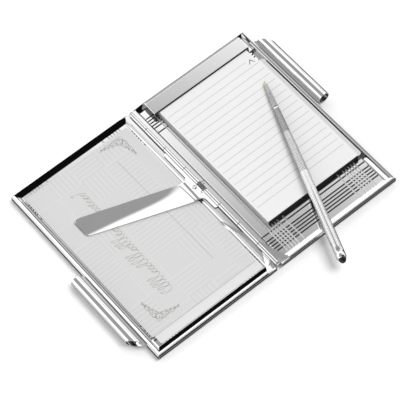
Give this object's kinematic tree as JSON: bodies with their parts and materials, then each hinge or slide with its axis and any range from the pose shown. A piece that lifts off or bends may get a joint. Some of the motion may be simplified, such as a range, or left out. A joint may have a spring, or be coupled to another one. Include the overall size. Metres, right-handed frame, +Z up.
{
  "type": "hinged notepad holder with pen",
  "caption": "Open plated-metal pocket notepad holder: hinged covers with a ruled pad under a band, a card under a sprung clip arm, edge pen tubes and a slim twist pen.",
  "frame": {"origin": "bottom centre of the bounding box of the open holder with its pen, on the surface it lies on", "axes": "+X across the covers from the card side to the pad side, +Y along the hinge towards the band at the head of the pad, +Z up"},
  "size_m": [0.1952, 0.1652, 0.0133],
  "materials": {
    "plated_metal": "bright silver plate",
    "spring_steel": "bright spring wire",
    "brass": "polished",
    "paper": null,
    "card": null,
    "grey_board": null,
    "black_cap": "gloss black",
    "refill_plastic": "translucent white"
  },
  "bodies": {
    "pad_cover": {"pad_cover_shell": "plated_metal", "pad_cover_tray": "plated_metal", "retaining_band": "plated_metal", "pad_hinge_leaf": "plated_metal", "hinge_pin": "plated_metal", "pad_pen_tube": "plated_metal", "torsion_spring": "spring_steel"},
    "card_cover": {"card_cover_shell": "plated_metal", "card_cover_tray": "plated_metal", "card_hinge_leaf": "plated_metal", "card_pen_tube": "plated_metal"},
    "clip_arm": {"clip_arm": "plated_metal", "arm_rivet": "plated_metal"},
    "insert_card": {"insert_card": "card"},
    "notepad": {"pad_carrier": "plated_metal", "backing_board": "grey_board", "page_block": "paper", "top_sheet": "paper", "glued_head_strip": "paper"},
    "pen": {"pen_barrel": "plated_metal", "pen_tail_cap": "black_cap"},
    "pen_front": {"pen_nose": "plated_metal", "twist_sleeve": "brass"},
    "refill": {"refill_tube": "refill_plastic", "refill_point": "brass"}
  },
  "joints": [
    {"name": "cover_hinge", "type": "hinge", "parent": "pad_cover", "child": "card_cover", "pos_m": [0, 0.01275, 0.0048], "axis": [0, 1, 0], "range_deg": [0, 180], "deforming": ["torsion_spring"]},
    {"name": "arm_pivot", "type": "hinge", "parent": "card_cover", "child": "clip_arm", "pos_m": [0, 0.01275, 0.0048], "axis": [0, -1, 0], "range_deg": [-100, 0], "stiffness_Nm_per_rad": 0.02, "springref_deg": 28.65},
    {"name": "card_slide", "type": "slide", "parent": "card_cover", "child": "insert_card", "axis": [0, -1, 0], "range_m": [0, 0.007]},
    {"name": "pad_slide", "type": "slide", "parent": "pad_cover", "child": "notepad", "axis": [0, -1, 0], "range_m": [0, 0.02]},
    {"name": "pen_slide", "type": "slide", "parent": "pad_cover", "child": "pen", "axis": [-0.3465, -0.9378, 0.0214], "range_m": [0, 0.1502]},
    {"name": "nose_twist", "type": "hinge", "parent": "pen", "child": "pen_front", "pos_m": [0.0739, 0.04475, 0.00745], "axis": [-0.3465, -0.9378, 0.0214], "range_deg": [0, 150]},
    {"name": "refill_slide", "type": "slide", "parent": "pen", "child": "refill", "axis": [-0.3465, -0.9378, 0.0214], "range_m": [0, 0.006]}
  ],
  "couplings": [
    {"joint": "pen_slide", "follows": "cover_hinge", "m_per_rad": 0.04775},
    {"joint": "nose_twist", "follows": "refill_slide", "rad_per_m": 436}
  ]
}
